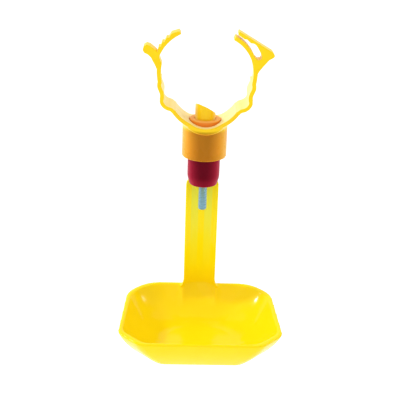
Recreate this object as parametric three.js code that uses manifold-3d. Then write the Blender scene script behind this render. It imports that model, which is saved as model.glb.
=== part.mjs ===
// Poultry nipple drinker with a snap-on pipe clamp and a hanging drip cup.
// Millimetres, +Z up. The origin is on the axis of the water pipe, which runs along Y,
// straight above the valve. The cup reaches out to the front, towards -Y.
import * as THREE from 'three';
import { mergeVertices } from 'three/addons/utils/BufferGeometryUtils.js';
import Module from 'manifold-3d';

const wasm = await Module();
wasm.setup();

// ---------------------------------------------------------------- driving dimensions
const PIPE_R = 12.5;              // water pipe that the clamp closes on, 25 mm outside
const BAND_WIDTH = 12;            // clamp band, along the pipe
const BAND_THICK = 1.3;
const ARM_WIDTH = 4.8;            // above their steps the arms keep only the front of the band's width
const ARM_THICK = 1.45;
const SEAT_THICK = 1.4;
const SEAT_HALF_ANGLE = 58;       // degrees each side of straight down
const HINGE_X = 15.2;             // flexing lobes where the arms join the seat
const HINGE_Z = -2.9;
const OPEN_ANGLE = 26.5;          // how far each arm stands open as moulded

const BARREL_R = 7.93;
const BARREL_BOTTOM = -24.5;
const COLLAR_R = 8.3;
const BORE_R = 6.1;               // barrel bore that takes the nipple body
const BORE_TOP = -16;
const SPIGOT_R = 3.6;             // enters the hole drilled in the pipe
const SPIGOT_BORE_R = 2;
const SPIGOT_END = -7.47;         // middle of its oblique end
const SPIGOT_SLANT = 33;          // degrees from level
const SPIGOT_FACING = 42;         // the oblique end faces right and this many degrees backwards
const GASKET_R = 5.5;
const GASKET_TOP = -10.8;
const GASKET_BOTTOM = -13.4;

const BODY_R = 5.8;               // nipple body
const BODY_BOTTOM = -35.4;
const BODY_BOTTOM_R = 5;
const BODY_TAPER = 3;
const PIN_R = 1.5;                // trigger pin
const PIN_TIP = -45.6;
const PIVOT_Z = BODY_BOTTOM + 4.2; // centre of the pin's domed head
const HEAD_R = 2.6;
const BALL_R = 2;

const CUP_BASE = -93.4;
const CUP_HEIGHT = 13;
const RIM_BACK = 8;
const RIM_FRONT = -37.8;
const RIM_HALF_BACK = 27.5;       // half width at the back corners
const RIM_HALF_FRONT = 29.1;
const RIM_CHAMFER = 7.8;
const CUP_TAPER = 7;              // how far the base stands inside the rim
const CUP_WALL = 1.4;
const STEM_WIDTH = 12.15;
const STEM_WALL = 1.3;
const STEM_R = 9.6;               // outer radius of the channel, about the barrel's axis
const STEM_TOP = -37.5;
const NECK_HALF = 3;
const RIB_HALF = 1.05;            // half width of the rib down the stem's back
const GROOVE_DEEP = 0.5;

const LUG_HALF = 4.6;             // lug behind the barrel, with the slot for the stem's neck
const LUG_BACK = 11.2;
const LUG_TOP = -14.2;
const SLOT_TOP = -15.4;

const GAP = 0.15;                 // clearance between a piece and the one it sits in
const ROUND = 40;                 // facets round a turned piece

// ---------------------------------------------------------------- materials
const plastic = (color, roughness) => new THREE.MeshStandardMaterial({ color, roughness, metalness: 0 });
const yellow = plastic(0xffd81e, 0.35);
const cupYellow = plastic(0xffe018, 0.3);
const peach = plastic(0xe8a048, 0.6);
const red = plastic(0xb3243c, 0.3);
const rubber = plastic(0x1c1c1c, 0.8);
const steel = new THREE.MeshStandardMaterial({ color: 0xaab6c0, roughness: 0.25, metalness: 1 });

// ---------------------------------------------------------------- solids
const rad = THREE.MathUtils.degToRad;

// a closed geometry as a manifold solid
function solid(geometry) {
  const bare = new THREE.BufferGeometry();
  bare.setAttribute('position', geometry.getAttribute('position').clone());
  if (geometry.index) bare.setIndex(geometry.index.clone());
  const merged = mergeVertices(bare, 1e-4);
  const index = merged.index.array;
  const kept = [];
  for (let i = 0; i < index.length; i += 3) {
    const [a, b, c] = [index[i], index[i + 1], index[i + 2]];
    if (a !== b && b !== c && c !== a) kept.push(a, b, c);
  }
  const vertProperties = new Float32Array(merged.getAttribute('position').array);
  return new wasm.Manifold(new wasm.Mesh({ numProp: 3, vertProperties, triVerts: new Uint32Array(kept) }));
}

// a manifold solid as a named mesh
function part(name, shape, material) {
  const { vertProperties, triVerts } = shape.getMesh();
  const geometry = new THREE.BufferGeometry();
  geometry.setAttribute('position', new THREE.BufferAttribute(vertProperties, 3));
  geometry.setIndex(new THREE.BufferAttribute(triVerts, 1));
  geometry.computeVertexNormals();
  const mesh = new THREE.Mesh(geometry, material);
  mesh.name = name;
  return mesh;
}

const union = (shapes) => shapes.reduce((whole, next) => whole.add(next));

// turned about Z from a closed profile of [radius, height] points
function turned(profile, segments = ROUND) {
  const points = profile.map(([r, z]) => new THREE.Vector2(r, z));
  points.push(points[0].clone());
  const geometry = new THREE.LatheGeometry(points, segments);
  geometry.rotateX(Math.PI / 2);
  return solid(geometry);
}

const rod = (r, low, high) => turned([[0, low], [r, low], [r, high], [0, high]]);
const tube = (inner, outer, low, high) => turned([[inner, low], [outer, low], [outer, high], [inner, high]]);

// an outline of Vector2 (x, z) given a width along Y from its front face back
function slab(outline, width = BAND_WIDTH, front = -width / 2) {
  const geometry = new THREE.ExtrudeGeometry(new THREE.Shape(outline), { depth: width, bevelEnabled: false });
  geometry.rotateX(Math.PI / 2);
  geometry.translate(0, front + width, 0);
  return solid(geometry);
}

function block(x, y, z) {
  const geometry = new THREE.BoxGeometry(x[1] - x[0], y[1] - y[0], z[1] - z[0]);
  geometry.translate((x[0] + x[1]) / 2, (y[0] + y[1]) / 2, (z[0] + z[1]) / 2);
  return solid(geometry);
}

// a point at radius r about the pipe, turned from straight up towards +X (side 1) or -X (side -1)
const polar = (r, degrees, side = 1) =>
  new THREE.Vector2(side * r * Math.sin(rad(degrees)), r * Math.cos(rad(degrees)));

function arc(r, from, to, side = 1, steps = 16) {
  return Array.from({ length: steps + 1 }, (_, i) => polar(r, from + (to - from) * i / steps, side));
}

// a ring sector about the pipe
const sector = (inner, outer, from, to, side = 1, steps = 16) =>
  [...arc(inner, from, to, side, steps), ...arc(outer, to, from, side, steps)];

// a strip of even thickness along a line of points
function ribbon(line, thickness) {
  const left = [];
  const right = [];
  line.forEach((point, i) => {
    const before = line[Math.max(i - 1, 0)];
    const after = line[Math.min(i + 1, line.length - 1)];
    const along = after.clone().sub(before).normalize();
    const across = new THREE.Vector2(-along.y, along.x).multiplyScalar(thickness / 2);
    left.push(point.clone().add(across));
    right.push(point.clone().sub(across));
  });
  return [...left, ...right.reverse()];
}

function disc(centre, r, steps = 24) {
  return Array.from({ length: steps }, (_, i) => {
    const turn = 2 * Math.PI * i / steps;
    return new THREE.Vector2(centre.x + r * Math.cos(turn), centre.y + r * Math.sin(turn));
  });
}

// ---------------------------------------------------------------- saddle with its barrel
// the flexing lobe: flat outwards from the edge of the seat, then rounding up to the arm's hinge
function lobe(side) {
  const hinge = new THREE.Vector2(side * HINGE_X, HINGE_Z);
  const below = (inward, drop) => new THREE.Vector2(hinge.x - side * inward, hinge.y - drop);
  const curve = new THREE.SplineCurve([
    polar(PIPE_R + SEAT_THICK / 2, 180 - SEAT_HALF_ANGLE + 2, side),
    below(3.3, 3.7),
    below(2, 3.25),
    below(0.95, 2.6),
    below(0.25, 1.75),
    below(-0.05, 0.95),
    below(0, 0.4),
  ]);
  const clearance = slab(disc(hinge, BAND_THICK / 2 + 0.2), BAND_WIDTH + 2);
  return slab(ribbon(curve.getPoints(16), BAND_THICK)).subtract(clearance);
}

function saddle() {
  const low = 180 - SEAT_HALF_ANGLE;
  const high = 180 + SEAT_HALF_ANGLE;
  const seat = slab(sector(PIPE_R, PIPE_R + SEAT_THICK, low, high, 1, 24));
  const pipe = slab(disc(new THREE.Vector2(0, 0), PIPE_R, 72), 40);
  const under = slab(disc(new THREE.Vector2(0, 0), PIPE_R + 2, 72), 40);
  const collar = rod(COLLAR_R, BORE_TOP, -8).intersect(under).subtract(pipe);
  const barrel = rod(BARREL_R, BARREL_BOTTOM, -8).subtract(pipe);
  const lug = block([-LUG_HALF, LUG_HALF], [BORE_R + 0.4, LUG_BACK], [BARREL_BOTTOM, LUG_TOP]);
  const shell = union([seat, lobe(1), lobe(-1), collar, barrel, lug]);
  const recess = rod(GASKET_R + GAP, GASKET_BOTTOM - 0.05, 0);
  const bore = rod(BORE_R, BARREL_BOTTOM - 1, BORE_TOP);
  const mouth = turned([
    [0, BARREL_BOTTOM - 1], [BORE_R + 1.4, BARREL_BOTTOM - 1], [BORE_R, BARREL_BOTTOM + 0.4],
    [0, BARREL_BOTTOM + 0.4]]);
  const slot = block([-NECK_HALF - 0.3, NECK_HALF + 0.3], [STEM_R - STEM_WALL - 0.25, STEM_R + 0.25],
    [BARREL_BOTTOM - 5, SLOT_TOP]);
  const hollowed = shell.subtract(recess).subtract(bore).subtract(mouth).subtract(slot);
  return hollowed.add(spigot()).subtract(rod(SPIGOT_BORE_R, -20, 0));
}

// the inlet tube, cut off at a slant so that it can't seal against the far wall of the pipe
function spigot() {
  const cutter = new THREE.BoxGeometry(40, 40, 20);
  cutter.translate(0, 0, 10);
  cutter.rotateY(rad(SPIGOT_SLANT));
  cutter.rotateZ(rad(SPIGOT_FACING));
  cutter.translate(0, 0, SPIGOT_END);
  return rod(SPIGOT_R, BORE_TOP + 0.5, 0).subtract(solid(cutter));
}

// ---------------------------------------------------------------- clamp arms
// Both arms are drawn closed round the pipe and stand open about their hinges.
const STRIP_IN = 12.7;            // inner face of the arms when they are closed
const STRIP_OUT = STRIP_IN + ARM_THICK;
const LINK_ANGLE = 70;            // where the arm leaves the circle for the hinge
const STEP_AT = 0.25;             // share of that link that is still narrow

const narrow = (outline) => slab(outline, ARM_WIDTH, -BAND_WIDTH / 2);

const STRAP_WAVE = 0.35;          // the straps bow out, then in again above the hinge
const WAVE_STEPS = 12;

function wavy(from, to, side) {
  const along = to.clone().sub(from).normalize();
  const outward = new THREE.Vector2(-along.y, along.x);
  if (outward.x * side < 0) outward.negate();
  return Array.from({ length: WAVE_STEPS + 1 }, (_, i) => {
    const share = i / WAVE_STEPS;
    const bow = STRAP_WAVE * Math.sin(2 * Math.PI * share) * (1 - 0.3 * share);
    return from.clone().lerp(to, share).addScaledVector(outward, bow);
  });
}

function strap(side, from) {
  const hinge = new THREE.Vector2(side * HINGE_X, HINGE_Z);
  const curve = arc(STRIP_IN + ARM_THICK / 2, from, LINK_ANGLE, side, 18);
  const step = curve.at(-1).clone().lerp(hinge, STEP_AT);
  const wave = wavy(step, hinge, side);
  return union([
    narrow(ribbon([...curve, ...wave], ARM_THICK)),
    slab(ribbon(wave, BAND_THICK)),
    slab(disc(hinge, BAND_THICK / 2)),
  ]);
}

// ratchet steps along an arc, as the outline points of its toothed side
function steps(valley, tip, from, to, count, side) {
  const pitch = (to - from) / count;
  return Array.from({ length: count }, (_, i) => [
    polar(tip, from + pitch * i, side),
    polar(valley, from + pitch * (i + 0.82), side),
  ]).flat();
}

const TONGUE_IN = 14.3;           // the tongue slides over the other arm's strip
const TOOTH_TIP = 16;
const TOOTH_VALLEY = 15.45;
const TONGUE_NOSE = -1.2;         // degrees past the top when closed
const TONGUE_ROOT = 41;

function leftArm() {
  const side = -1;
  const tongue = narrow([
    ...arc(TONGUE_IN, TONGUE_NOSE, TONGUE_ROOT + 8, side),
    polar(TOOTH_VALLEY, TONGUE_ROOT + 8, side),
    ...steps(TOOTH_VALLEY, TOOTH_TIP, 9, TONGUE_ROOT - 2, 4, side).reverse(),
    polar(TOOTH_VALLEY, TONGUE_NOSE + 0.5, side),
  ]);
  const fork = narrow([
    polar(STRIP_IN, 51, side),
    polar(TONGUE_IN, 42.5, side),
    polar(15.9, 37.3, side),
    polar(16.8, 46.8, side),
    polar(15.9, 50.5, side),
    polar(14.95, 54.5, side),
    polar(STRIP_OUT, 60, side),
    polar(STRIP_IN, 60, side),
  ]);
  const thumb = narrow([
    polar(15.5, 40, side),
    polar(15.9, 37.1, side),
    polar(18.6, 35.3, side),
    polar(19.8, 36.2, side),
    polar(20.4, 39, side),
    polar(20.2, 42.5, side),
    polar(19.5, 44.4, side),
    polar(18.2, 44.8, side),
    polar(16.8, 46.8, side),
    polar(15.3, 48.8, side),
  ]);
  return union([strap(side, 52), tongue, fork, thumb]);
}

const JAW_NOSE = 0.4;
const SLOT_R = 16.4;              // outer wall of the slot between the strip and the jaw
const SLOT_END = 43.5;

function rightArm() {
  const jaw = narrow([
    polar(16.1, JAW_NOSE),
    polar(14.9, JAW_NOSE + 0.6),
    polar(14.9, 11.5),
    polar(15.35, 13.5),
    polar(15.4, 20.5),
    polar(SLOT_R - 0.2, 23.5),
    ...arc(SLOT_R, 27, SLOT_END - 2, 1, 5),
    polar(SLOT_R - 0.3, SLOT_END),
    polar(15.6, SLOT_END + 1.2),
    polar(14.7, SLOT_END + 0.4),
    polar(STRIP_OUT + 0.2, SLOT_END - 3),
    polar(STRIP_OUT - 0.3, SLOT_END - 6),
    polar(STRIP_OUT - 0.6, 62),
    polar(STRIP_OUT, 62.5),
    polar(14.6, 59.5),
    polar(15.75, 54.8),
    polar(17.2, 50.7),
    polar(18.5, 47.6),
    polar(20.1, 46.6),
    polar(20.6, 45.3),
    polar(20.6, 44),
    polar(20.3, 41.3),
  ]);
  return strap(1, -0.4).add(jaw);
}

// a group that turns its mesh about the arm's hinge
function opened(mesh, side) {
  const group = new THREE.Group();
  group.position.set(side * HINGE_X, 0, HINGE_Z);
  group.rotation.y = side * rad(OPEN_ANGLE);
  mesh.position.set(-side * HINGE_X, 0, -HINGE_Z);
  group.add(mesh);
  return group;
}

// ---------------------------------------------------------------- nipple valve
const CHAMBER_R = 2.9;
const INSERT_R = 4;               // steel pieces pressed into the body
const SLEEVE_BOTTOM = BODY_BOTTOM + 0.8;
const LOWER_SEAT = PIVOT_Z - 1.6;
const SLEEVE_TOP = PIVOT_Z + 2.3;
const UPPER_SEAT = SLEEVE_TOP + 1.3;
const SEAT_HOLE_R = 1.4;
const NUB_R = 0.7;                // reaches up through the seat's hole
const PIN_HOLE_R = 2.2;
const SEAL_TOP = UPPER_SEAT + 0.9;
const BODY_TOP = BORE_TOP - 0.2;
const NOSE_R = 3.7;               // the body's nose, inside the O-ring
const INLET_R = 1.6;
const LEDGE = BODY_TOP - 1.75;    // the ledge under the O-ring

function nippleBody() {
  const bore = INSERT_R + GAP;
  return turned([
    [PIN_HOLE_R + 0.5, BODY_BOTTOM],
    [BODY_BOTTOM_R, BODY_BOTTOM],
    [BODY_R, BODY_BOTTOM + BODY_TAPER],
    [BODY_R, LEDGE],
    [NOSE_R, LEDGE],
    [NOSE_R, BODY_TOP],
    [INLET_R, BODY_TOP],
    [INLET_R, BODY_TOP - 5.5],
    [CHAMBER_R, BODY_TOP - 6.8],
    [CHAMBER_R, SEAL_TOP],
    [bore, SEAL_TOP],
    [bore, SLEEVE_BOTTOM - 0.1],
    [PIN_HOLE_R + 0.5, SLEEVE_BOTTOM - 0.1],
  ]);
}

const RING_FACETS = 8;            // round the section of an O-ring

// a round-section ring between two radii, resting at height low
function oRing(inner, outer, low) {
  const r = (outer - inner) / 2;
  const profile = Array.from({ length: RING_FACETS }, (_, i) => {
    const turn = 2 * Math.PI * i / RING_FACETS;
    return [inner + r + r * Math.cos(turn), low + r + r * Math.sin(turn)];
  });
  return turned(profile, 32);
}

function valveSleeve() {
  const inner = HEAD_R + 0.5;
  return turned([
    [PIN_HOLE_R, SLEEVE_BOTTOM],
    [INSERT_R, SLEEVE_BOTTOM],
    [INSERT_R, SLEEVE_TOP],
    [inner, SLEEVE_TOP],
    [inner, LOWER_SEAT + 0.6],
    [inner - 0.5, LOWER_SEAT],
    [PIN_HOLE_R, LOWER_SEAT],
  ]);
}

// steel ball resting on the edge of the upper seat's hole
const BALL_Z = UPPER_SEAT + Math.sqrt((BALL_R + 0.12) ** 2 - SEAT_HOLE_R ** 2);

function valveBall() {
  const geometry = new THREE.SphereGeometry(BALL_R, 24, 14);
  geometry.translate(0, 0, BALL_Z);
  return solid(geometry);
}

// domed head that rolls on the sleeve's lower seat, a nub that reaches the ball, and the trigger
function triggerPin() {
  const headTop = 0.8;
  const headEdge = Math.sqrt(HEAD_R ** 2 - headTop ** 2);
  const neck = -Math.sqrt(HEAD_R ** 2 - PIN_R ** 2);
  const first = Math.atan2(neck, PIN_R);
  const last = Math.atan2(headTop, headEdge);
  const dome = Array.from({ length: 8 }, (_, i) => {
    const turn = first + (last - first) * i / 7;
    return [HEAD_R * Math.cos(turn), PIVOT_Z + HEAD_R * Math.sin(turn)];
  });
  const nubTop = BALL_Z - BALL_R - 0.3;
  return turned([
    [0, PIN_TIP],
    [PIN_R - 0.6, PIN_TIP],
    [PIN_R - 0.15, PIN_TIP + 0.3],
    [PIN_R, PIN_TIP + 0.9],
    ...dome,
    [NUB_R, PIVOT_Z + headTop],
    [NUB_R, nubTop],
    [0, nubTop],
  ], 32);
}

// ---------------------------------------------------------------- drip cup on its stem
const STEM_IN = STEM_R - STEM_WALL;
const STEM_HALF = STEM_WIDTH / 2;
const STEM_REACH = STEM_HALF + 2.7; // the cup's back wall follows the stem out to here
const BACK_CORNER = 2;            // the right end of the back edge, in the order of cupRing's corners

// how far the stem's front face lies behind the bowl's back wall at the rim, easing out at its sides
function hollow(x) {
  const wall = RIM_BACK - CUP_WALL;
  const inside = Math.min(Math.abs(x), STEM_HALF);
  const ease = THREE.MathUtils.smoothstep(Math.abs(x), STEM_HALF, STEM_HALF + 2.5);
  return (Math.sqrt(STEM_IN ** 2 - inside ** 2) - wall) * (1 - ease);
}

// an eight-sided ring of points, inset from the rim's outline, with its corners rounded;
// channel, if given, is how far its back edge follows the stem's hollow face, from 0 to 1
function cupRing(inset, z, roundBack, roundFront, channel) {
  const chamfer = RIM_CHAMFER - 0.45 * Math.max(0, inset - CUP_TAPER);
  const back = RIM_BACK - inset;
  const front = RIM_FRONT + inset;
  const halfBack = RIM_HALF_BACK - inset;
  const halfFront = RIM_HALF_FRONT - inset;
  const corners = [
    [halfFront, front + chamfer, roundFront], [halfBack, back - chamfer, roundBack],
    [halfBack - chamfer, back, roundBack], [chamfer - halfBack, back, roundBack],
    [-halfBack, back - chamfer, roundBack], [-halfFront, front + chamfer, roundFront],
    [chamfer - halfFront, front, roundFront], [halfFront - chamfer, front, roundFront],
  ];
  return corners.flatMap(([x, y, round], i) => {
    const corner = new THREE.Vector2(x, y);
    const [before, after] = [corners.at(i - 1), corners[(i + 1) % 8]].map(([px, py]) => {
      const towards = new THREE.Vector2(px, py).sub(corner);
      return corner.clone().add(towards.setLength(Math.min(round, towards.length() * 0.45)));
    });
    const bend = new THREE.QuadraticBezierCurve(before, corner, after).getPoints(4)
      .map((p) => new THREE.Vector3(p.x, p.y, z));
    return i === BACK_CORNER && channel !== undefined ? [...bend, ...behind(bend.at(-1), channel)] : bend;
  });
}

// the part of a ring's back edge that the stem stands on
function behind(end, channel) {
  const reach = Math.min(STEM_REACH, end.x - 0.1);
  return Array.from({ length: 19 }, (_, i) => {
    const x = reach * (1 - i / 9);
    return new THREE.Vector3(x, end.y + channel * hollow(x), end.z);
  });
}

// a closed body through a stack of rings with equal numbers of points
function loft(rings) {
  const count = rings[0].length;
  const positions = rings.flat().flatMap((p) => [p.x, p.y, p.z]);
  const index = [];
  for (let level = 0; level < rings.length - 1; level += 1) {
    for (let i = 0; i < count; i += 1) {
      const [a, b] = [level * count + i, level * count + (i + 1) % count];
      index.push(a, b, b + count, a, b + count, a + count);
    }
  }
  for (const [ring, flip] of [[0, true], [rings.length - 1, false]]) {
    const centre = positions.length / 3;
    const middle = rings[ring].reduce((sum, p) => sum.add(p), new THREE.Vector3()).divideScalar(count);
    positions.push(middle.x, middle.y, middle.z);
    for (let i = 0; i < count; i += 1) {
      const [a, b] = [ring * count + i, ring * count + (i + 1) % count];
      index.push(...(flip ? [centre, b, a] : [centre, a, b]));
    }
  }
  const geometry = new THREE.BufferGeometry();
  geometry.setAttribute('position', new THREE.Float32BufferAttribute(positions, 3));
  geometry.setIndex(index);
  return solid(geometry);
}

const RIM_Z = CUP_BASE + CUP_HEIGHT;
const FLOOR_DEPTH = CUP_HEIGHT - CUP_WALL;
const BOWL = 8;                   // extra inward sweep of the bowl from its wall to its floor
const FADE = 8.5;                 // depth below the rim at which the stem's hollow has run out

function cupOutside() {
  return loft([
    cupRing(CUP_TAPER + 0.8, CUP_BASE, 2.5, 1.8),
    cupRing(CUP_TAPER - 0.2, CUP_BASE + 0.7, 3, 2),
    cupRing(CUP_TAPER / 2 - 0.7, CUP_BASE + CUP_HEIGHT / 2, 4, 2),
    cupRing(0.3, RIM_Z - 0.8, 4.5, 2.2),
    cupRing(0, RIM_Z - 0.3, 4.5, 2.2),
    cupRing(0.3, RIM_Z, 4.5, 2.2),
  ]);
}

function cupInside() {
  const levels = 7;
  const rings = Array.from({ length: levels + 1 }, (_, i) => {
    const turn = Math.PI / 2 * (1 - i / levels);
    const depth = FLOOR_DEPTH * Math.sin(turn);
    const inset = CUP_WALL + CUP_TAPER / CUP_HEIGHT * depth + BOWL * (1 - Math.cos(turn));
    const channel = THREE.MathUtils.smoothstep(FADE - depth, 0, FADE);
    return cupRing(inset, RIM_Z - depth, 4.5 - depth * 0.1, 2.4 + depth * 0.1, channel);
  });
  return loft([...rings, cupRing(CUP_WALL, RIM_Z + 2, 4.5, 2.4, 1)]);
}

const FOOT_LOW = RIM_Z - 5;       // the stem's foot runs down the back of the cup to here

// channel-section stem, concentric with the barrel, its shoulders and the neck that slides into the lug
function cupStem() {
  const channel = tube(STEM_IN, STEM_R, RIM_Z - 0.4, STEM_TOP);
  const trim = block([-STEM_HALF, STEM_HALF], [3, 12], [RIM_Z - 1, STEM_TOP + 1]);
  const shoulder = tube(STEM_IN, STEM_R, STEM_TOP - 0.5, STEM_TOP + 2.6);
  const slope = new THREE.Shape([
    new THREE.Vector2(-STEM_HALF, STEM_TOP - 1), new THREE.Vector2(STEM_HALF, STEM_TOP - 1),
    new THREE.Vector2(NECK_HALF, STEM_TOP + 2.5), new THREE.Vector2(-NECK_HALF, STEM_TOP + 2.5),
  ]);
  const wedge = new THREE.ExtrudeGeometry(slope, { depth: 9, bevelEnabled: false });
  wedge.rotateX(Math.PI / 2);
  wedge.translate(0, 12, 0);
  const neck = block([-NECK_HALF, NECK_HALF], [STEM_IN, STEM_R], [STEM_TOP - 2, SLOT_TOP - 0.4]);
  return union([channel.intersect(trim), shoulder.intersect(solid(wedge)), neck]).subtract(grooves());
}

// the two grooves that leave a rib down the middle of the stem's back and one along each edge
function grooves() {
  const length = [RIM_Z + 6, STEM_TOP - 1.6];
  const skin = tube(STEM_R - GROOVE_DEEP, STEM_R + 1, ...length);
  return union([1, -1].map((side) => {
    const across = [side * RIB_HALF, side * (STEM_HALF - 2 * RIB_HALF)].sort((a, b) => a - b);
    return skin.intersect(block(across, [5, 12], length));
  }));
}

// the stem's foot, solid behind the cup's back wall
const stemFoot = () => rod(STEM_R, FOOT_LOW, RIM_Z)
  .intersect(block([-STEM_HALF, STEM_HALF], [2, 12], [FOOT_LOW - 1, RIM_Z + 1]));

function dripCup() {
  return cupOutside().add(stemFoot()).subtract(cupInside()).add(cupStem());
}

// ---------------------------------------------------------------- the drinker
const drinker = new THREE.Group();
drinker.add(
  part('saddle_barrel', saddle(), yellow),
  opened(part('left_clamp_arm', leftArm(), yellow), -1),
  opened(part('right_clamp_arm', rightArm(), yellow), 1),
  part('pipe_gasket', tube(SPIGOT_R + GAP, GASKET_R, GASKET_BOTTOM, GASKET_TOP), peach),
  part('nipple_body', nippleBody(), red),
  part('body_o_ring', oRing(NOSE_R + GAP, BODY_R - 0.1, LEDGE + 0.05), rubber),
  part('valve_sleeve', valveSleeve(), steel),
  part('upper_valve_seat', tube(SEAT_HOLE_R, INSERT_R, SLEEVE_TOP + 0.1, UPPER_SEAT), steel),
  part('seat_seal', oRing(CHAMBER_R + 0.3, INSERT_R, UPPER_SEAT + 0.03), rubber),
  part('valve_ball', valveBall(), steel),
  part('trigger_pin', triggerPin(), steel),
  part('drip_cup', dripCup(), cupYellow),
);

export default drinker;
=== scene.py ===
# Looks of the clip-on poultry nipple drinker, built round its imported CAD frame. Metres, +Z up.
import math

import bmesh
import bpy
from mathutils import Matrix, Vector


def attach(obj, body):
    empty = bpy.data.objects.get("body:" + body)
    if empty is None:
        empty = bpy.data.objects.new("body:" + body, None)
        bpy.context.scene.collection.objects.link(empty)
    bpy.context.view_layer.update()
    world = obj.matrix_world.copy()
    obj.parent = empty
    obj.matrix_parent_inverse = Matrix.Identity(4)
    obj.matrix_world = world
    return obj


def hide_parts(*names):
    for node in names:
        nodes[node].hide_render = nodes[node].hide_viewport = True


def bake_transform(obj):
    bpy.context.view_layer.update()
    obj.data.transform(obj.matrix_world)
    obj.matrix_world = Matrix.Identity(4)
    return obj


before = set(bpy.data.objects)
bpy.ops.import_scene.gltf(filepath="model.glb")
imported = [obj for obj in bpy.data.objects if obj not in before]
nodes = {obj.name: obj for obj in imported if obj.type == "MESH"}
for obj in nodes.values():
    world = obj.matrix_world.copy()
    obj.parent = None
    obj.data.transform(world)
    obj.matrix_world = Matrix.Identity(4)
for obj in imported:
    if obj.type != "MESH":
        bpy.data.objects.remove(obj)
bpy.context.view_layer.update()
MM = 0.001

# ---------------------------------------------------------------- sizes, in millimetres
PIPE_R = 12.5                # the water pipe that the clamp closes on
BAND_WIDTH = 12.0
BAND_THICK = 1.3
SEAT_THICK = 1.4
SEAT_HALF_ANGLE = 58
HINGE_X, HINGE_Z = 15.2, -2.9
OPEN_ANGLE = 26.5
ARM_WIDTH = 4.8
STRIP_IN = 12.7
STRIP_OUT = 14.15
TONGUE_IN = 14.3
TOOTH_TIP, TOOTH_VALLEY = 16.05, 15.45
LINK_ANGLE = 70

BARREL_R = 7.93
BARREL_BOTTOM = -24.5
COLLAR_R = 8.3
BORE_R = 6.1
BORE_TOP = -16.0
GASKET_TOP, GASKET_BOTTOM = -10.8, -13.4
GASKET_R = 5.5
SPIGOT_R = 3.6
SPIGOT_BORE_R = 2.0
SPIGOT_END, SPIGOT_SLANT, SPIGOT_FACING = -7.47, 33, 42

BODY_TOP = -16.2
BODY_BOTTOM = -35.4
BODY_R, BODY_BOTTOM_R = 5.8, 5.0
BODY_TAPER = 3.0
PIN_R, HEAD_R = 1.5, 2.6
PIN_TIP = -45.6
CUP_BASE = -93.4
CUP_HEIGHT = 13.0
RIM_Z = CUP_BASE + CUP_HEIGHT
RIM_BACK, RIM_FRONT = 8.0, -37.8
RIM_HALF_BACK, RIM_HALF_FRONT = 27.5, 29.1
RIM_CHAMFER = 7.8
CUP_TAPER = 7.0
CUP_WALL = 1.4
STEM_HALF = 6.075
STEM_R, STEM_IN = 9.6, 8.3
STEM_TOP = -37.5
NECK_HALF = 3.0
GROOVE = (1.05, 3.98)        # each groove in the stem's back runs from and to this far from its middle
GROOVE_DEEP = 0.5
STRAP_WAVE = 0.35            # the straps bow out, then in again above the hinge
WAVE_STEPS = 12
TONGUE_NOSE, TONGUE_ROOT = -1.2, 49
LUG_HALF, LUG_BACK, LUG_TOP = 4.6, 11.2, -14.2
SLOT_TOP = -15.4
NOSE_R, INLET_R, LEDGE = 3.7, 1.6, -17.95
CHAMBER_R, SLEEVE_R, LIP_R = 2.9, 4.15, 2.7
SLEEVE_TOP, SLEEVE_BOTTOM = -26.7, -34.7
PIVOT_Z = BODY_BOTTOM + 4.2
NUB_R = 0.7


# ---------------------------------------------------------------- shader helpers
def material(name):
    """A new node material, with its tree and its Principled shader."""
    mat = bpy.data.materials.new(name)
    mat.use_nodes = True
    tree = mat.node_tree
    return mat, tree, tree.nodes["Principled BSDF"]


def node(tree, kind, **values):
    """A new node; a value named after an input sets it, any other sets the node's own property."""
    made = tree.nodes.new(kind)
    for key, value in values.items():
        if key in made.inputs:
            made.inputs[key].default_value = value
        else:
            setattr(made, key, value)
    return made


def noise(tree, scale, detail=3.0, roughness=0.5, vector=None):
    made = node(tree, "ShaderNodeTexNoise", Scale=scale, Detail=detail, Roughness=roughness)
    tree.links.new(vector or coordinates(tree), made.inputs["Vector"])
    return made.outputs["Fac"]


def coordinates(tree):
    for made in tree.nodes:
        if made.type == "TEX_COORD":
            return made.outputs["Object"]
    return node(tree, "ShaderNodeTexCoord").outputs["Object"]


def span(tree, value, low, high, to_low=0.0, to_high=1.0):
    made = node(tree, "ShaderNodeMapRange")
    for socket, number in zip(("From Min", "From Max", "To Min", "To Max"), (low, high, to_low, to_high)):
        made.inputs[socket].default_value = number
    tree.links.new(value, made.inputs["Value"])
    return made.outputs["Result"]


def mix(tree, share, first, second):
    made = node(tree, "ShaderNodeMix", data_type="RGBA")
    tree.links.new(share, made.inputs["Factor"])
    for socket, value in ((6, first), (7, second)):
        if isinstance(value, tuple):
            made.inputs[socket].default_value = (*value, 1)
        else:
            tree.links.new(value, made.inputs[socket])
    return made.outputs[2]


def place(tree):
    where = node(tree, "ShaderNodeSeparateXYZ")
    tree.links.new(coordinates(tree), where.inputs["Vector"])
    return where.outputs


def by_height(tree, none_at, full_at):
    """From 0 to 1 between two heights on the part, in millimetres."""
    return span(tree, place(tree)["Z"], none_at * MM, full_at * MM)


def product(tree, first, second):
    both = node(tree, "ShaderNodeMath", operation="MULTIPLY")
    tree.links.new(first, both.inputs[0])
    tree.links.new(second, both.inputs[1])
    return both.outputs["Value"]


def bump(tree, shader, height, strength, distance):
    made = node(tree, "ShaderNodeBump", Strength=strength, Distance=distance)
    tree.links.new(height, made.inputs["Height"])
    tree.links.new(made.outputs["Normal"], shader.inputs["Normal"])


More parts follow.
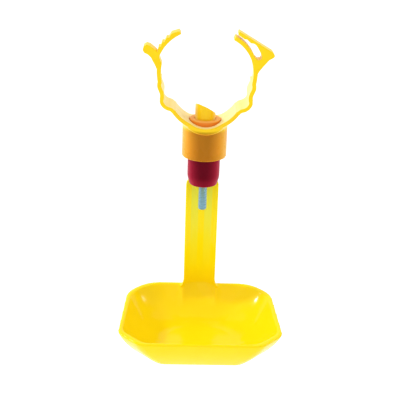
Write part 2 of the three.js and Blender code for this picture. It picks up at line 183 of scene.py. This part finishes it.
# ---------------------------------------------------------------- materials
def moulded(name, colour, shade, roughness, specular):
    """Smooth moulded plastic: faint flow clouds in the colour, an uneven gloss and a slight ripple."""
    mat, tree, shader = material(name)
    clouds = span(tree, noise(tree, 140, 3), 0.3, 0.75)
    tree.links.new(mix(tree, clouds, colour, shade), shader.inputs["Base Color"])
    gloss = span(tree, noise(tree, 260, 2), 0.3, 0.7, roughness * 0.9, roughness * 1.12)
    tree.links.new(gloss, shader.inputs["Roughness"])
    bump(tree, shader, noise(tree, 160, 2), 0.05, 0.0001)
    shader.inputs["Specular IOR Level"].default_value = specular
    return mat


def painted_sheen(mat, strength, none_at, full_at):
    """Painted sheen: a pale diffuse colour stands in for the white light reflected where the plastic is seen
    along its surface, fading in between two heights.
    """
    tree = mat.node_tree
    out = tree.nodes["Material Output"]
    facing = node(tree, "ShaderNodeLayerWeight", Blend=0.5).outputs["Facing"]
    share = product(tree, span(tree, facing, 0.30, 0.80, 0.0, strength), by_height(tree, none_at, full_at))
    both = node(tree, "ShaderNodeMixShader")
    painted_reflection = node(tree, "ShaderNodeBsdfDiffuse", Color=(1.0, 0.90, 0.52, 1))
    tree.links.new(share, both.inputs["Fac"])
    tree.links.new(out.inputs["Surface"].links[0].from_socket, both.inputs[1])
    tree.links.new(painted_reflection.outputs["BSDF"], both.inputs[2])
    tree.links.new(both.outputs["Shader"], out.inputs["Surface"])


def steel(name):
    """Turned stainless steel, with fine rings round the axis."""
    mat, tree, shader = material(name)
    where = node(tree, "ShaderNodeMapping")
    where.inputs["Scale"].default_value = (0.2, 0.2, 6)
    tree.links.new(coordinates(tree), where.inputs["Vector"])
    rings = noise(tree, 900, 2, vector=where.outputs["Vector"])
    tree.links.new(mix(tree, rings, (0.14, 0.30, 0.40), (0.19, 0.37, 0.47)), shader.inputs["Base Color"])
    tree.links.new(span(tree, rings, 0.3, 0.7, 0.22, 0.36), shader.inputs["Roughness"])
    bump(tree, shader, rings, 0.15, 0.0001)
    shader.inputs["Metallic"].default_value = 0.45
    return mat


def rubber(name, colour):
    mat, tree, shader = material(name)
    grain = noise(tree, 2500, 3)
    lighter = tuple(c * 1.25 for c in colour)
    tree.links.new(mix(tree, grain, colour, lighter), shader.inputs["Base Color"])
    tree.links.new(span(tree, grain, 0.3, 0.7, 0.5, 0.7), shader.inputs["Roughness"])
    bump(tree, shader, grain, 0.2, 0.0001)
    return mat


def recoloured(mat, colour, none_at, full_at):
    """Turns a material's colour to another between two heights, in millimetres."""
    tree = mat.node_tree
    shader = tree.nodes["Principled BSDF"]
    plain = shader.inputs["Base Color"].links[0].from_socket
    tree.links.new(mix(tree, by_height(tree, none_at, full_at), plain, colour), shader.inputs["Base Color"])


def thin_stem(mat):
    """The stem's grooved stretches are thin enough to let the light behind them through, and look paler."""
    tree = mat.node_tree
    across = node(tree, "ShaderNodeMath", operation="ABSOLUTE")
    tree.links.new(place(tree)["X"], across.inputs[0])
    inner, outer = (edge * MM for edge in GROOVE)
    share = product(tree, span(tree, across.outputs["Value"], inner - 0.0001, inner + 0.0003),
                    span(tree, across.outputs["Value"], outer + 0.0001, outer - 0.0003))
    share = product(tree, share, by_height(tree, -74, -46))
    share = product(tree, share, by_height(tree, -38.5, -39.5))
    shader = tree.nodes["Principled BSDF"]
    plain = shader.inputs["Base Color"].links[0].from_socket
    tree.links.new(mix(tree, share, plain, (0.84, 0.84, 0.055)), shader.inputs["Base Color"])


def translucent(mat, tint, share, clear_below=None, solid_above=None):
    """Makes a moulded plastic let what is inside show through its thin walls.

    share is how much of its own colour shows seen square on and seen along the wall; the plastic may also
    turn solid between two heights, in millimetres."""
    tree = mat.node_tree
    see = node(tree, "ShaderNodeBsdfTransparent", Color=(*tint, 1))
    both = node(tree, "ShaderNodeMixShader")
    facing = node(tree, "ShaderNodeLayerWeight", Blend=0.5).outputs["Facing"]
    own = span(tree, facing, 0.08, 0.55, *share)
    if clear_below is not None:
        more = node(tree, "ShaderNodeMath", operation="MAXIMUM")
        tree.links.new(own, more.inputs[0])
        tree.links.new(by_height(tree, clear_below, solid_above), more.inputs[1])
        own = more.outputs["Value"]
    tree.links.new(own, both.inputs["Fac"])
    tree.links.new(see.outputs["BSDF"], both.inputs[1])
    tree.links.new(tree.nodes["Principled BSDF"].outputs["BSDF"], both.inputs[2])
    tree.links.new(both.outputs["Shader"], tree.nodes["Material Output"].inputs["Surface"])


yellow = moulded("clamp_yellow", (1.0, 0.70, 0.008), (0.97, 0.64, 0.006), 0.3, 0.12)
# painted sheen: pale cream mixed into the clamp yellow where its faces are seen along them, standing in for
# reflected white light
painted_sheen(yellow, 0.65, 10, 2)
cup_yellow = moulded("cup_yellow", (1.0, 0.725, 0.004), (0.98, 0.69, 0.003), 0.13, 0.12)
recoloured(cup_yellow, (1.0, 0.82, 0.004), -82, -72)
thin_stem(cup_yellow)
# painted shade: the barrel below the seat is a deeper orange than the seat, standing in for the dark insides
# seen through its thick wall
amber = moulded("saddle_amber", (0.87, 0.44, 0.026), (0.83, 0.40, 0.022), 0.28, 0.15)
recoloured(amber, (0.94, 0.62, 0.010), -14.6, -13.8)
translucent(amber, (1.0, 0.50, 0.14), (0.34, 0.97), -14.8, -13.2)
# painted sheen: the seat's upper faces turn pale cream where seen along them, standing in for reflected
# white light
painted_sheen(amber, 0.75, -14.0, -12.8)
red = moulded("nipple_red", (0.44, 0.012, 0.044), (0.40, 0.010, 0.038), 0.3, 0.06)
translucent(red, (0.26, 0.02, 0.07), (0.28, 0.90))
# painted shade: the gasket's side wall keeps a darker orange for the shade in its pocket; only its top face
# above -11.3 mm turns lighter peach
peach = rubber("gasket_peach", (0.80, 0.22, 0.010))
recoloured(peach, (0.92, 0.42, 0.07), -11.3, -10.95)
black = rubber("rubber_black", (0.02, 0.02, 0.022))
stainless = steel("stainless")


# ---------------------------------------------------------------- mesh helpers
def polar(r, degrees, side=1):
    turn = math.radians(degrees)
    return Vector((side * r * math.sin(turn), r * math.cos(turn)))


def arc(r, first, last, side=1, steps=16):
    return [polar(r, first + (last - first) * i / steps, side) for i in range(steps + 1)]


def finished(name, mesh, mat, body=None, stands_for=()):
    """The mesh as a piece of the object, in its place in the frame."""
    piece = bpy.data.objects.new(name, mesh)
    bpy.context.scene.collection.objects.link(piece)
    mesh.materials.clear()
    mesh.materials.append(mat)
    for face in mesh.polygons:
        face.use_smooth = True
    if body:
        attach(piece, body)
    if stands_for:
        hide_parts(*stands_for)
    return piece


def slab(outline, width=BAND_WIDTH, front=-BAND_WIDTH / 2):
    """An (x, z) outline given a width along Y from its front face back, as a closed mesh in metres."""
    curve = bpy.data.curves.new("outline", "CURVE")
    curve.dimensions = "2D"
    curve.fill_mode = "BOTH"
    curve.extrude = width / 2 * MM
    spline = curve.splines.new("POLY")
    spline.points.add(len(outline) - 1)
    for point, (x, z) in zip(spline.points, outline):
        point.co = (x * MM, z * MM, 0, 1)
    spline.use_cyclic_u = True
    holder = bpy.data.objects.new("outline", curve)
    bpy.context.scene.collection.objects.link(holder)
    mesh = bpy.data.meshes.new_from_object(holder)
    bpy.data.objects.remove(holder)
    middle = (front + width / 2) * MM
    mesh.transform(Matrix(((1, 0, 0, 0), (0, 0, -1, middle), (0, 1, 0, 0), (0, 0, 0, 1))))
    return cleaned(mesh)


def ribbon(line, thickness):
    """A strip of even thickness along a line of points."""
    left, right = [], []
    for i, point in enumerate(line):
        along = (line[min(i + 1, len(line) - 1)] - line[max(i - 1, 0)]).normalized()
        across = Vector((-along.y, along.x)) * thickness / 2
        left.append(point + across)
        right.append(point - across)
    return left + right[::-1]


def lathe(profile, segments=96, axis_x=0.0):
    """Turned about Z from a profile of (radius, z), closed on itself, in metres."""
    mesh = bpy.data.meshes.new("lathe")
    verts, faces = [], []
    count = len(profile)
    for s in range(segments):
        turn = 2 * math.pi * s / segments
        for r, z in profile:
            verts.append(((axis_x + r * math.cos(turn)) * MM, r * math.sin(turn) * MM, z * MM))
    for s in range(segments):
        after = (s + 1) % segments
        for i in range(count):
            j = (i + 1) % count
            faces.append((s * count + i, after * count + i, after * count + j, s * count + j))
    mesh.from_pydata(verts, [], faces)
    return cleaned(mesh)


def cleaned(mesh):
    """Doubled points joined, flat faces dropped, normals outward."""
    work = bmesh.new()
    work.from_mesh(mesh)
    bmesh.ops.remove_doubles(work, verts=work.verts, dist=1e-7)
    bmesh.ops.dissolve_degenerate(work, edges=work.edges, dist=1e-8)
    bmesh.ops.recalc_face_normals(work, faces=work.faces)
    work.to_mesh(mesh)
    work.free()
    return mesh


def fillet(corner, before, after, radius, steps=5):
    """Points of a rounded corner of a profile."""
    a = corner + (before - corner).normalized() * radius
    b = corner + (after - corner).normalized() * radius
    return [a.lerp(corner, t).lerp(corner.lerp(b, t), t) for t in (i / steps for i in range(steps + 1))]


def rounded(profile, radii):
    """A closed profile with each corner rounded by its own radius."""
    points = [Vector(p) for p in profile]
    out = []
    for i, radius in enumerate(radii):
        if radius:
            out += fillet(points[i], points[i - 1], points[(i + 1) % len(points)], radius)
        else:
            out.append(points[i])
    return out


def joined(meshes):
    """Several closed meshes in one, still overlapping."""
    work = bmesh.new()
    for mesh in meshes:
        work.from_mesh(mesh)
    mesh = bpy.data.meshes.new("joined")
    work.to_mesh(mesh)
    work.free()
    return mesh


def modified(mesh, *settings):
    """The mesh after modifiers, each given as (type, {property: value})."""
    holder = bpy.data.objects.new("work", mesh)
    bpy.context.scene.collection.objects.link(holder)
    for kind, values in settings:
        modifier = holder.modifiers.new(kind, kind)
        for key, value in values.items():
            setattr(modifier, key, value)
    graph = bpy.context.evaluated_depsgraph_get()
    result = bpy.data.meshes.new_from_object(holder.evaluated_get(graph))
    bpy.data.objects.remove(holder)
    return result


def combined(mesh, tool, operation):
    holder = bpy.data.objects.new("tool", tool)
    bpy.context.scene.collection.objects.link(holder)
    mesh = modified(mesh, ("BOOLEAN", {"operation": operation, "solver": "EXACT", "object": holder}))
    bpy.data.objects.remove(holder)
    return mesh


def cut(mesh, *tools):
    """The mesh with each tool mesh taken out of it."""
    for tool in tools:
        mesh = combined(mesh, tool, "DIFFERENCE")
    return mesh


def overlap(mesh, tool):
    return combined(mesh, tool, "INTERSECT")


def moulded_skin(meshes, voxel, rounds):
    """One continuous moulding from overlapping solids, with softened inner and outer corners."""
    return modified(
        joined(meshes),
        ("REMESH", {"mode": "VOXEL", "voxel_size": voxel * MM, "use_smooth_shade": True}),
        ("SMOOTH", {"factor": 0.5, "iterations": rounds}),
    )


def block(x, y, z):
    mesh = bpy.data.meshes.new("block")
    corners = [(i, j, k) for i in x for j in y for k in z]
    quads = [(0, 1, 3, 2), (4, 6, 7, 5), (0, 4, 5, 1), (2, 3, 7, 6), (0, 2, 6, 4), (1, 5, 7, 3)]
    mesh.from_pydata([tuple(v * MM for v in c) for c in corners], [], quads)
    return cleaned(mesh)


# ---------------------------------------------------------------- clamp
def opened(outline, side):
    """An outline drawn closed round the pipe, turned open about the arm's hinge."""
    hinge = Vector((side * HINGE_X, HINGE_Z))
    turn = Matrix.Rotation(-side * math.radians(OPEN_ANGLE), 2)
    return [hinge + turn @ (point - hinge) for point in outline]


def circle(centre, r, steps=32):
    turns = (2 * math.pi * i / steps for i in range(steps))
    return [Vector((centre.x + r * math.cos(t), centre.y + r * math.sin(t))) for t in turns]


def smooth_line(points, per=6):
    """A Catmull-Rom line through points."""
    ends = [points[0] * 2 - points[1], *points, points[-1] * 2 - points[-2]]
    out = []
    for a, b, c, d in zip(ends, ends[1:], ends[2:], ends[3:]):
        for i in range(per):
            t = i / per
            out.append(0.5 * (2 * b + (c - a) * t + (2 * a - 5 * b + 4 * c - d) * t ** 2
                              + (3 * b - a - 3 * c + d) * t ** 3))
    return [*out, points[-1]]


def lobe(side):
    """From inside the edge of the seat, flat outwards and round up to the arm's hinge."""
    hinge = Vector((side * HINGE_X, HINGE_Z))
    below = [(3.3, 3.7), (2.0, 3.25), (0.95, 2.6), (0.25, 1.75), (-0.05, 0.95), (0.0, 0.0)]
    line = [polar(PIPE_R + SEAT_THICK / 2, 180 - SEAT_HALF_ANGLE + 4, side)]
    line += [hinge - Vector((side * inward, drop)) for inward, drop in below]
    return slab(ribbon(smooth_line(line), BAND_THICK))


def arm_strap(side, first):
    hinge = Vector((side * HINGE_X, HINGE_Z))
    curve = arc((STRIP_IN + STRIP_OUT) / 2, first, LINK_ANGLE, side, 24)
    step = curve[-1].lerp(hinge, 0.25)
    thin = STRIP_OUT - STRIP_IN
    along = (hinge - step).normalized()
    outward = Vector((-along.y, along.x))
    if outward.x * side < 0:
        outward = -outward
    shares = [i / WAVE_STEPS for i in range(WAVE_STEPS + 1)]
    wave = [step.lerp(hinge, t) + outward * (STRAP_WAVE * math.sin(math.tau * t) * (1 - 0.3 * t))
            for t in shares]
    return [
        narrow(ribbon([*curve, *wave], thin), side),
        slab(opened(ribbon(wave, BAND_THICK), side)),
        slab(opened(circle(hinge, BAND_THICK / 2), side)),
    ]


def narrow(outline, side):
    return slab(opened(outline, side), ARM_WIDTH)


def ratchet(valley, tip, first, last, count, side):
    pitch = (last - first) / count
    teeth = [(polar(tip, first + pitch * i, side), polar(valley, first + pitch * (i + 0.82), side))
             for i in range(count)]
    return [point for pair in teeth for point in pair]


def left_arm():
    side = -1
    tongue = [*arc(TONGUE_IN, TONGUE_NOSE, TONGUE_ROOT, side), polar(TOOTH_VALLEY, TONGUE_ROOT, side),
              *ratchet(TOOTH_VALLEY, TOOTH_TIP, 9, 39, 4, side)[::-1], polar(TOOTH_VALLEY, -0.7, side)]
    fork = [polar(r, t, side) for r, t in (
        (STRIP_IN, 51), (TONGUE_IN, 42.5), (15.9, 37.3), (16.8, 46.8), (15.9, 50.5), (14.95, 54.5),
        (STRIP_OUT, 60), (STRIP_IN, 60))]
    thumb = [polar(r, t, side) for r, t in (
        (15.5, 40), (15.9, 37.1), (18.6, 35.3), (19.8, 36.2), (20.4, 39), (20.2, 42.5),
        (19.5, 44.4), (18.2, 44.8), (16.8, 46.8), (15.3, 48.8))]
    pieces = [narrow(outline, side) for outline in (tongue, fork, thumb)]
    return [lobe(side), *arm_strap(side, 52), *pieces]


def right_arm():
    jaw = [polar(r, t) for r, t in (
        (16.1, 0.4), (14.9, 1.0), (14.9, 11.5), (15.35, 13.5), (15.4, 20.5), (16.2, 23.5))]
    jaw += arc(16.4, 27, 41.5, 1, 8)
    jaw += [polar(r, t) for r, t in (
        (16.1, 43.5), (15.6, 44.7), (14.7, 43.9), (14.35, 40.5), (13.85, 37.5), (13.55, 62), (14.15, 62.5),
        (14.6, 59.5), (15.75, 54.8), (17.2, 50.7), (18.5, 47.6), (20.1, 46.6), (20.6, 45.3), (20.6, 44),
        (20.3, 41.3))]
    return [lobe(1), *arm_strap(1, -0.4), narrow(jaw, 1)]


ARM_VOXEL = 0.13
for name, side, solids in (("left_arm", -1, left_arm()), ("right_arm", 1, right_arm())):
    skin = finished(name + "_skin", moulded_skin(solids, ARM_VOXEL, 4), yellow,
                    stands_for=["left_clamp_arm" if side < 0 else "right_clamp_arm"])
    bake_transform(skin)


def slant_cutter():
    """What lies above the spigot's oblique end."""
    mesh = block((-9, 9), (-9, 9), (0, 12))
    mesh.transform(Matrix.Rotation(math.radians(SPIGOT_SLANT), 4, "Y"))
    mesh.transform(Matrix.Rotation(math.radians(SPIGOT_FACING), 4, "Z"))
    mesh.transform(Matrix.Translation((0, 0, SPIGOT_END * MM)))
    return mesh


def rod(r, low, high, segments=96):
    return lathe([(0, low), (r, low), (r, high), (0, high)], segments)


def saddle():
    """Seat, barrel, lug and spigot as the solids of one moulding."""
    low, high = 180 - SEAT_HALF_ANGLE, 180 + SEAT_HALF_ANGLE
    seat = slab([*arc(PIPE_R, low, high, 1, 60), *arc(PIPE_R + SEAT_THICK, high, low, 1, 60)])
    pipe = slab(circle(Vector((0, 0)), PIPE_R, 192), 40, -20)
    slot = block((-NECK_HALF - 0.3, NECK_HALF + 0.3), (STEM_IN - 0.25, STEM_R + 0.25), (-30, SLOT_TOP))
    ring = lathe([(SPIGOT_R, GASKET_BOTTOM - 0.05), (GASKET_R + 0.2, GASKET_BOTTOM - 0.05),
                  (GASKET_R + 0.2, 0), (SPIGOT_R, 0)])
    bore = lathe([(0, -26), (BORE_R + 1.9, -26), (BORE_R, BARREL_BOTTOM + 0.4), (BORE_R, BORE_TOP),
                  (0, BORE_TOP)])
    barrel = cut(rod(BARREL_R, BARREL_BOTTOM, -6), pipe, bore, ring, rod(SPIGOT_BORE_R, -20, 0))
    under = slab(circle(Vector((0, 0)), PIPE_R + 2, 192), 40, -20)
    collar = cut(overlap(rod(COLLAR_R, BORE_TOP, -8), under), pipe, bore, ring, rod(SPIGOT_BORE_R, -20, 0))
    lug = cut(block((-LUG_HALF, LUG_HALF), (BORE_R + 0.4, LUG_BACK), (BARREL_BOTTOM, LUG_TOP)), slot)
    seat = cut(seat, rod(GASKET_R + 0.2, GASKET_BOTTOM - 0.05, 0))
    spigot = cut(rod(SPIGOT_R, BORE_TOP + 0.5, 0), slant_cutter(), rod(SPIGOT_BORE_R, -20, 1))
    return [seat, barrel, collar, lug, spigot]


SADDLE_VOXEL = 0.175
finished("saddle_skin", moulded_skin(saddle(), SADDLE_VOXEL, 4), amber, "saddle",
         ["saddle_barrel"])

# ---------------------------------------------------------------- drip cup
def cup_ring(inset, z, round_back, round_front, channel=0.0):
    """The rim's eight-sided outline drawn in by inset, its corners rounded, at height z.

    channel is how far the back edge follows the stem's hollow face, from 0 to 1."""
    chamfer = RIM_CHAMFER - 0.45 * max(0, inset - CUP_TAPER)
    back, front = RIM_BACK - inset, RIM_FRONT + inset
    half_back, half_front = RIM_HALF_BACK - inset, RIM_HALF_FRONT - inset
    right = [(half_front - chamfer, front, round_front), (half_front, front + chamfer, round_front),
             (half_back, back - chamfer, round_back), (half_back - chamfer, back, round_back)]
    corners = [(Vector((x, y)), r) for x, y, r in right]
    corners += [(Vector((-x, y)), r) for x, y, r in right[::-1]]
    ring = []
    for i, (corner, radius) in enumerate(corners):
        before, after = corners[i - 1][0], corners[(i + 1) % 8][0]
        reach = min(radius, 0.45 * (before - corner).length, 0.45 * (after - corner).length)
        ring += [(p.x, p.y, z) for p in fillet(corner, before, after, reach, 8)]
        if i == 3:
            span_x = min(STEM_HALF + 2.7, ring[-1][0] - 0.05)
            ring += [(x, back + channel * hollow(x), z) for x in (span_x * (1 - k / 30) for k in range(61))]
    return ring


def hollow(x):
    """How far the stem's front face lies behind the bowl's back wall at the rim, easing out at its sides."""
    wall = RIM_BACK - CUP_WALL
    if abs(x) <= STEM_HALF:
        return math.sqrt(STEM_IN ** 2 - x * x) - wall
    out = min(1.0, (abs(x) - STEM_HALF) / 2.5)
    return (math.sqrt(STEM_IN ** 2 - STEM_HALF ** 2) - wall) * (1 - out * out * (3 - 2 * out))


def loft(rings):
    """A closed mesh through a stack of rings."""
    count = len(rings[0])
    verts = [tuple(v * MM for v in point) for ring in rings for point in ring]
    faces = [(level * count + i, level * count + (i + 1) % count,
              (level + 1) * count + (i + 1) % count, (level + 1) * count + i)
             for level in range(len(rings) - 1) for i in range(count)]
    faces += [tuple(range(count))[::-1], tuple(range((len(rings) - 1) * count, len(rings) * count))]
    mesh = bpy.data.meshes.new("loft")
    mesh.from_pydata(verts, [], faces)
    return cleaned(mesh)


BOWL = 8.0                   # extra inward sweep of the bowl from its wall to its floor
FADE = 8.5                   # depth below the rim at which the stem's hollow has run out


def cup():
    """Bowl, stem and the foot that ties them together, as the solids of one moulding."""
    outside = loft([
        cup_ring(CUP_TAPER + 0.8, CUP_BASE, 2.5, 1.8),
        cup_ring(CUP_TAPER - 0.2, CUP_BASE + 0.7, 3, 2),
        *(cup_ring((CUP_TAPER - 0.2) * (1 - t) - 2.8 * t * (1 - t), CUP_BASE + 0.7 + (CUP_HEIGHT - 1.1) * t,
                   3 + 1.5 * t, 2 + 0.2 * t) for t in (0.1, 0.2, 0.3, 0.4, 0.5, 0.6, 0.7, 0.8, 0.9)),
        cup_ring(0, RIM_Z - 0.4, 4.5, 2.2),
        cup_ring(0, RIM_Z, 4.5, 2.2),
    ])
    floor_depth = CUP_HEIGHT - CUP_WALL
    levels = 24
    rings = []
    for i in range(levels + 1):
        turn = math.pi / 2 * (1 - i / levels)
        depth = floor_depth * math.sin(turn)
        inset = CUP_WALL + CUP_TAPER / CUP_HEIGHT * depth + BOWL * (1 - math.cos(turn))
        fade = max(0.0, 1 - depth / FADE)
        rings.append(cup_ring(inset, RIM_Z - depth, 4.5 + depth * 0.5, 2.4 + depth * 0.5,
                              fade * fade * (3 - 2 * fade)))
    inside = loft([*rings, cup_ring(CUP_WALL, RIM_Z + 2, 4.5, 2.4, 1.0)])
    foot_low = RIM_Z - 5
    foot = cut(rod(STEM_R, foot_low, RIM_Z), block((-20, 20), (-20, 2), (foot_low - 2, RIM_Z + 2)),
               *(block(sorted((side * STEM_HALF, side * 20)), (-20, 20), (foot_low - 2, RIM_Z + 2))
                 for side in (-1, 1)))
    return [cut(combined(outside, foot, "UNION"), inside), *stem()]


def stem_back(x, deep):
    """The stem's outer face at x: a round back with a groove either side of a middle rib."""
    across = (abs(x) - GROOVE[0]) / (GROOVE[1] - GROOVE[0])
    dip = deep * min(1.0, 5 * max(0.0, min(across, 1 - across)))
    return math.sqrt((STEM_R - dip) ** 2 - x * x)


def stem():
    """The channel, its sloped shoulders and the neck, each a plan-view outline stretched along Z."""
    widths = [(RIM_Z - 0.4, STEM_HALF + 1.2, 0), (RIM_Z + 0.3, STEM_HALF + 0.6, 0),
              (RIM_Z + 1.1, STEM_HALF + 0.2, 0), (RIM_Z + 2.2, STEM_HALF, 0),
              (RIM_Z + 9, STEM_HALF, GROOVE_DEEP), (STEM_TOP - 2.2, STEM_HALF, GROOVE_DEEP),
              (STEM_TOP - 0.9, STEM_HALF, 0), (STEM_TOP, STEM_HALF - 0.25, 0),
              (STEM_TOP + 2.4, NECK_HALF + 0.3, 0), (STEM_TOP + 3.2, NECK_HALF, 0), (-15.8, NECK_HALF, 0)]
    rings = []
    for z, half, deep in widths:
        xs = [half * (1 - i / 30) for i in range(61)]
        rings.append([(x, stem_back(x, deep), z) for x in xs]
                     + [(-x, math.sqrt(STEM_IN ** 2 - x * x), z) for x in xs])
    return [loft(rings)]


CUP_VOXEL = 0.345
finished("drip_cup_skin", moulded_skin(cup(), CUP_VOXEL, 5), cup_yellow, "cup", ["drip_cup"])

# ---------------------------------------------------------------- gasket, nipple and pin
def gasket():
    profile = [(SPIGOT_R + 0.15, GASKET_BOTTOM), (GASKET_R, GASKET_BOTTOM), (GASKET_R, GASKET_TOP),
               (SPIGOT_R + 0.15, GASKET_TOP)]
    return lathe(rounded(profile, [0.2, 0.2, 0.45, 0.2]))


def nipple():
    """The red body: nose in the O-ring, chamfered skirt, and the stepped bore for the steel inserts."""
    profile = [(LIP_R, BODY_BOTTOM), (BODY_BOTTOM_R, BODY_BOTTOM), (BODY_R, BODY_BOTTOM + BODY_TAPER),
               (BODY_R, LEDGE), (NOSE_R, LEDGE), (NOSE_R, BODY_TOP), (INLET_R, BODY_TOP),
               (INLET_R, BODY_TOP - 5.5), (CHAMBER_R, BODY_TOP - 6.8), (CHAMBER_R, SLEEVE_TOP),
               (SLEEVE_R, SLEEVE_TOP), (SLEEVE_R, SLEEVE_BOTTOM), (LIP_R, SLEEVE_BOTTOM)]
    return lathe(rounded(profile, [0.15, 0.5, 0.9, 0.4, 0.1, 0.3, 0.3, 0.2, 0.2, 0, 0, 0, 0]))


def pin():
    """The trigger: domed head that rolls in the sleeve, its nub and a rounded tip."""
    first, last = math.atan2(-math.sqrt(HEAD_R ** 2 - PIN_R ** 2), PIN_R), math.asin(0.8 / HEAD_R)
    dome = [(HEAD_R * math.cos(t), PIVOT_Z + HEAD_R * math.sin(t))
            for t in (first + (last - first) * i / 16 for i in range(17))]
    tip = [(PIN_R - 0.55 + 0.55 * math.sin(t), PIN_TIP + 0.55 - 0.55 * math.cos(t))
           for t in (math.pi / 2 * i / 8 for i in range(9))]
    nub_top = PIVOT_Z + 5.75
    return lathe([(0, PIN_TIP), *tip, *dome, (NUB_R, PIVOT_Z + 0.8), (NUB_R, nub_top), (0, nub_top)], 64)


finished("pipe_gasket_skin", gasket(), peach, "saddle", ["pipe_gasket"])
finished("nipple_body_skin", nipple(), red, "saddle", ["nipple_body"])
finished("trigger_pin_skin", pin(), stainless, "trigger", ["trigger_pin"])

for piece_node, mat in (("body_o_ring", black), ("valve_sleeve", stainless), ("upper_valve_seat", stainless),
                        ("seat_seal", black), ("valve_ball", stainless)):
    shown = nodes[piece_node]
    shown.data.materials.clear()
    shown.data.materials.append(mat)

# ---------------------------------------------------------------- floor, light and camera
floor_mat, _, floor_shader = material("floor")
floor_shader.inputs["Base Color"].default_value = (0.88, 0.88, 0.88, 1)
floor_shader.inputs["Roughness"].default_value = 0.9
floor_shader.inputs["Emission Color"].default_value = (1, 1, 1, 1)
floor_shader.inputs["Emission Strength"].default_value = 0.22
floor_mesh = bpy.data.meshes.new("floor")
FLOOR = 1.5                  # half the floor's width, in metres
HANG = 0.06                  # the drinker hangs this far above the floor, in metres
floor_mesh.from_pydata([(-FLOOR, -FLOOR, 0), (FLOOR, -FLOOR, 0), (FLOOR, FLOOR, 0), (-FLOOR, FLOOR, 0)],
                       [], [(0, 1, 2, 3)])
floor = bpy.data.objects.new("floor", floor_mesh)
floor.location.z = CUP_BASE * MM - HANG
floor_mesh.materials.append(floor_mat)
bpy.context.scene.collection.objects.link(floor)

world = bpy.data.worlds.new("studio")
bpy.context.scene.world = world
world.use_nodes = True
sky = world.node_tree
direction = node(sky, "ShaderNodeSeparateXYZ")
sky.links.new(node(sky, "ShaderNodeTexCoord").outputs["Generated"], direction.inputs["Vector"])
to_back = span(sky, direction.outputs["Y"], -1.0, 0.2, 0.58, 1.0)
sky.nodes["Background"].inputs["Color"].default_value = (1, 1, 1, 1)
sky.links.new(to_back, sky.nodes["Background"].inputs["Strength"])


def sun_light(name, place, target, strength, spread):
    data = bpy.data.lights.new(name, "SUN")
    data.energy = strength
    data.angle = math.radians(spread)
    aim(bpy.data.objects.new(name, data), place, target)


def aim(light, place, target):
    light.location = place
    light.rotation_euler = (Vector(target) - Vector(place)).to_track_quat("-Z", "Y").to_euler()
    bpy.context.scene.collection.objects.link(light)


middle = (0, -0.01, -0.04)
sun_light("key", (-0.75, 0.15, 0.55), middle, 1.1, 5)
sun_light("front_fill", (-0.3, -0.8, 0.5), middle, 0.4, 60)
sun_light("glint", (0.75, 0.15, 0.55), middle, 0.2, 5)

camera_data = bpy.data.cameras.new("camera")
camera_data.lens = 72.9
camera_data.sensor_width = 36
camera_data.clip_start = 0.01
camera = bpy.data.objects.new("camera", camera_data)
bpy.context.scene.collection.objects.link(camera)
bpy.context.scene.camera = camera
AZIMUTH, PITCH, ROLL = -2.42, 23.33, 2.2
EYE = Vector((2.9, -286.6, 77.6))
around = Matrix.Rotation(math.radians(AZIMUTH), 3, "Z")
camera.location = around @ EYE * MM
rolled = Matrix.Rotation(math.radians(ROLL), 3, "Z")
tilt = around @ Matrix.Rotation(math.radians(90 - PITCH), 3, "X") @ rolled
camera.rotation_euler = tilt.to_euler()

scene = bpy.context.scene
scene.view_settings.view_transform = "Standard"
